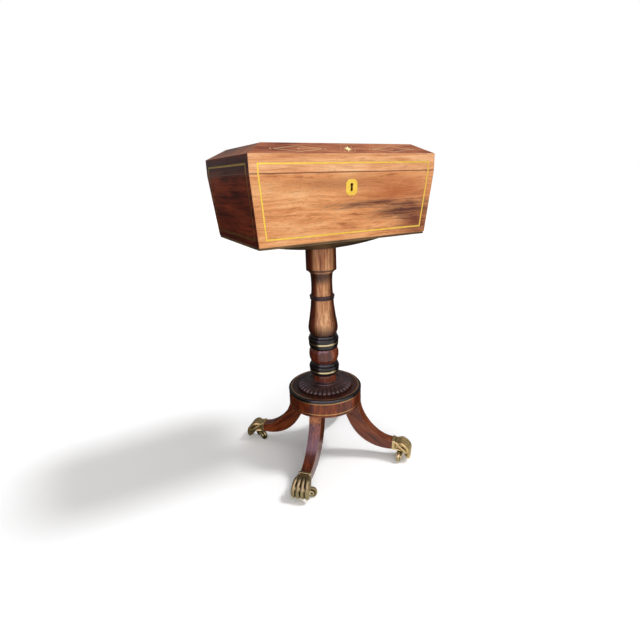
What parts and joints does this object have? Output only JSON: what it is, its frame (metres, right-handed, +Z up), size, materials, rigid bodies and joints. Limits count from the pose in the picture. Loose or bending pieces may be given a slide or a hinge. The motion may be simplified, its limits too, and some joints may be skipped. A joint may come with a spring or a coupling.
{
  "type": "teapoy",
  "caption": "Tapered tea chest with a hinged canted lid on a turned column, gadrooned collar, drum platform and sabre legs with lion-paw castors.",
  "frame": {"origin": "floor centre under the column", "axes": "+Z up along the column, -Y out of the keyhole side, +X to the viewer's right"},
  "size_m": [0.423, 0.3502, 0.765],
  "materials": {
    "rosewood": "polished rosewood",
    "ebonised_wood": "ebonised and polished",
    "brass": "polished inlaid brass",
    "cast_brass": "aged cast brass",
    "interior_veneer": "satin",
    "underside_wood": "stained, matt",
    "glass": "clear cut glass",
    "steel": "aged"
  },
  "bodies": {
    "stand": {"drum": "rosewood", "drum_edge_moulding": "ebonised_wood", "drum_strings": "brass", "gadroon_collar": "rosewood", "column_foot": "rosewood", "ebonised_ring_lower": "ebonised_wood", "column_bulb": "rosewood", "ebonised_ring_upper": "ebonised_wood", "column_shaft": "rosewood", "column_hoops": "brass", "underside_dish": "underside_wood", "bottom_board": "underside_wood", "body_front": "rosewood", "body_back": "rosewood", "body_left": "rosewood", "body_right": "rosewood", "body_strings": "brass", "escutcheon": "brass", "lock": "brass", "hinge_leaves_body": "brass", "hinge_pins": "steel", "deck": "interior_veneer", "caddy_left": "interior_veneer", "caddy_right": "interior_veneer", "mixing_bowls": "glass", "castor_pivot_pins": "steel", "leg_front_left": "rosewood", "paw_cap_front_left": "cast_brass", "leg_front_right": "rosewood", "paw_cap_front_right": "cast_brass", "leg_back_left": "rosewood", "paw_cap_back_left": "cast_brass", "leg_back_right": "rosewood", "paw_cap_back_right": "cast_brass"},
    "lid": {"lid_front": "rosewood", "lid_back": "rosewood", "lid_left": "rosewood", "lid_right": "rosewood", "lid_top": "rosewood", "lid_strings": "brass", "lid_inlay": "brass", "striker_plate": "brass", "hinge_leaves_lid": "brass"},
    "caddy_lid_left": {"caddy_lid_left": "interior_veneer"},
    "caddy_lid_right": {"caddy_lid_right": "interior_veneer"},
    "castor_front_left": {"castor_horn_front_left": "cast_brass", "castor_axle_front_left": "steel"},
    "wheel_front_left": {"castor_wheel_front_left": "cast_brass"},
    "castor_front_right": {"castor_horn_front_right": "cast_brass", "castor_axle_front_right": "steel"},
    "wheel_front_right": {"castor_wheel_front_right": "cast_brass"},
    "castor_back_left": {"castor_horn_back_left": "cast_brass", "castor_axle_back_left": "steel"},
    "wheel_back_left": {"castor_wheel_back_left": "cast_brass"},
    "castor_back_right": {"castor_horn_back_right": "cast_brass", "castor_axle_back_right": "steel"},
    "wheel_back_right": {"castor_wheel_back_right": "cast_brass"}
  },
  "joints": [
    {"name": "lid_hinge", "type": "hinge", "parent": "stand", "child": "lid", "pos_m": [0, 0.1439, 0.711], "axis": [-1, 0, 0], "range_deg": [0, 100]},
    {"name": "caddy_lid_left_lift", "type": "slide", "parent": "stand", "child": "caddy_lid_left", "axis": [0, 0, 1], "range_m": [0, 0.025]},
    {"name": "caddy_lid_right_lift", "type": "slide", "parent": "stand", "child": "caddy_lid_right", "axis": [0, 0, 1], "range_m": [0, 0.025]},
    {"name": "castor_swivel_front_left", "type": "hinge", "parent": "stand", "child": "castor_front_left", "pos_m": [-0.14213, -0.14213, 0.016], "axis": [0, 0, 1], "range_deg": [-14.9, 175.1]},
    {"name": "castor_wheel_spin_front_left", "type": "hinge", "parent": "castor_front_left", "child": "wheel_front_left", "pos_m": [-0.12536, -0.15392, 0.0125], "axis": [-0.575, -0.8181, 0], "continuous": true},
    {"name": "castor_swivel_front_right", "type": "hinge", "parent": "stand", "child": "castor_front_right", "pos_m": [0.14213, -0.14213, 0.016], "axis": [0, 0, 1], "range_deg": [-180.2, 9.8]},
    {"name": "castor_wheel_spin_front_right", "type": "hinge", "parent": "castor_front_right", "child": "wheel_front_right", "pos_m": [0.12647, -0.15536, 0.0125], "axis": [-0.6455, 0.7638, 0], "continuous": true},
    {"name": "castor_swivel_back_left", "type": "hinge", "parent": "stand", "child": "castor_back_left", "pos_m": [-0.14213, 0.14213, 0.016], "axis": [0, 0, 1], "range_deg": [-66.8, 123.2]},
    {"name": "castor_wheel_spin_back_left", "type": "hinge", "parent": "castor_back_left", "child": "wheel_back_left", "pos_m": [-0.1362, 0.1225, 0.0125], "axis": [-0.9573, -0.289, 0], "continuous": true},
    {"name": "castor_swivel_back_right", "type": "hinge", "parent": "stand", "child": "castor_back_right", "pos_m": [0.14213, 0.14213, 0.016], "axis": [0, 0, 1], "range_deg": [-80, 110]},
    {"name": "castor_wheel_spin_back_right", "type": "hinge", "parent": "castor_back_right", "child": "wheel_back_right", "pos_m": [0.12437, 0.13188, 0.0125], "axis": [-0.5, 0.866, 0], "continuous": true}
  ]
}
